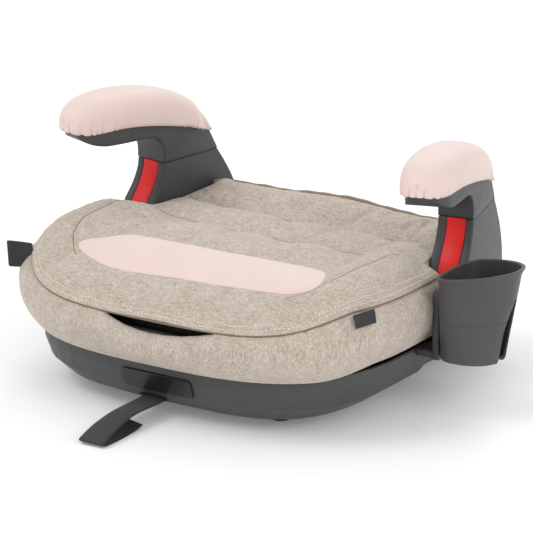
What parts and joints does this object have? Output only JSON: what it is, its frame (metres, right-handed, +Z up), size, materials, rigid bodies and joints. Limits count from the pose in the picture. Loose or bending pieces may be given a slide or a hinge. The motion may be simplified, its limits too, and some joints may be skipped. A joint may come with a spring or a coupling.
{
  "type": "booster seat",
  "caption": "Backless child booster seat with a quilted cushion on a plastic base, padded armrests with belt guides, a side cup holder and a sliding rear anchor carriage.",
  "frame": {"origin": "on the floor plane, on the mid-plane of the seat, at the centre of the middle foot's underside", "axes": "+X to the cup holder side, +Y to the rear where the anchor arms come out, +Z up"},
  "size_m": [0.5136, 0.4561, 0.2471],
  "materials": {
    "charcoal_plastic": "fine matte grain",
    "black_plastic": "gloss",
    "red_plastic": "semi-gloss",
    "melange_fabric": "beige and taupe melange weave",
    "pink_fabric": "smooth fine weave",
    "piping_fabric": "woven cord",
    "black_webbing": "satin webbing",
    "white_foam": "expanded foam beads",
    "grey_foam": "open-cell foam",
    "steel": "brushed",
    "rubber": "matte"
  },
  "bodies": {
    "seat_body": {"badge_plate": "black_plastic", "base_shell": "charcoal_plastic", "foot_1": "rubber", "foot_2": "rubber", "foot_3": "rubber", "foot_4": "rubber", "foot_5": "rubber", "screw_boss_1": "charcoal_plastic", "screw_boss_2": "charcoal_plastic", "screw_boss_3": "charcoal_plastic", "screw_boss_4": "charcoal_plastic", "seat_shell": "charcoal_plastic", "foam_liner": "white_foam", "comfort_foam": "grey_foam", "cover_top": "melange_fabric", "cover_band": "melange_fabric", "insert_panel": "pink_fabric", "back_piping": "piping_fabric", "left_tag": "black_webbing", "right_tag": "black_webbing", "left_armrest_post": "charcoal_plastic", "right_armrest_post": "charcoal_plastic", "left_belt_guide": "red_plastic", "right_belt_guide": "red_plastic", "left_arm": "charcoal_plastic", "right_arm": "charcoal_plastic", "left_pad_cover": "pink_fabric", "right_pad_cover": "pink_fabric", "left_pad_foam": "grey_foam", "right_pad_foam": "grey_foam", "cup_bracket": "charcoal_plastic", "left_guide_rail": "charcoal_plastic", "right_guide_rail": "charcoal_plastic", "pawl_bracket": "charcoal_plastic", "pawl_pin": "steel", "pawl_spring": "steel"},
    "anchor_carriage": {"cross_bar": "steel", "ratchet_rack": "steel", "left_connector_arm": "steel", "right_connector_arm": "steel", "left_jaw_pin": "steel", "right_jaw_pin": "steel"},
    "left_jaw": {"left_jaw": "steel"},
    "right_jaw": {"right_jaw": "steel"},
    "left_release_button": {"left_release_button": "red_plastic"},
    "right_release_button": {"right_release_button": "red_plastic"},
    "lock_pawl": {"lock_pawl": "red_plastic"},
    "pull_strap": {"pull_strap": "black_webbing"},
    "cup_holder": {"cup_holder": "charcoal_plastic"}
  },
  "joints": [
    {"name": "carriage_slide", "type": "slide", "parent": "seat_body", "child": "anchor_carriage", "axis": [0, 1, 0], "range_m": [0, 0.09]},
    {"name": "left_jaw_hinge", "type": "hinge", "parent": "anchor_carriage", "child": "left_jaw", "pos_m": [-0.14, 0.15, 0.0325], "axis": [1, 0, 0], "range_deg": [0, 20]},
    {"name": "right_jaw_hinge", "type": "hinge", "parent": "anchor_carriage", "child": "right_jaw", "pos_m": [0.14, 0.15, 0.0325], "axis": [1, 0, 0], "range_deg": [0, 20]},
    {"name": "left_button_slide", "type": "slide", "parent": "anchor_carriage", "child": "left_release_button", "axis": [0, -1, 0], "range_m": [0, 0.006]},
    {"name": "right_button_slide", "type": "slide", "parent": "anchor_carriage", "child": "right_release_button", "axis": [0, -1, 0], "range_m": [0, 0.006]},
    {"name": "pawl_hinge", "type": "hinge", "parent": "seat_body", "child": "lock_pawl", "pos_m": [0, -0.01, 0.034], "axis": [1, 0, 0], "range_deg": [-8.8, 0]},
    {"name": "strap_pull", "type": "slide", "parent": "seat_body", "child": "pull_strap", "axis": [0, -1, 0], "range_m": [-0.008, 0]},
    {"name": "cup_lift", "type": "slide", "parent": "seat_body", "child": "cup_holder", "axis": [0, 0, 1], "range_m": [0, 0.035]}
  ],
  "couplings": [
    {"joint": "left_button_slide", "follows": "left_jaw_hinge", "m_per_rad": 0.017},
    {"joint": "right_button_slide", "follows": "right_jaw_hinge", "m_per_rad": 0.017},
    {"joint": "pawl_hinge", "follows": "strap_pull", "rad_per_m": 19}
  ]
}
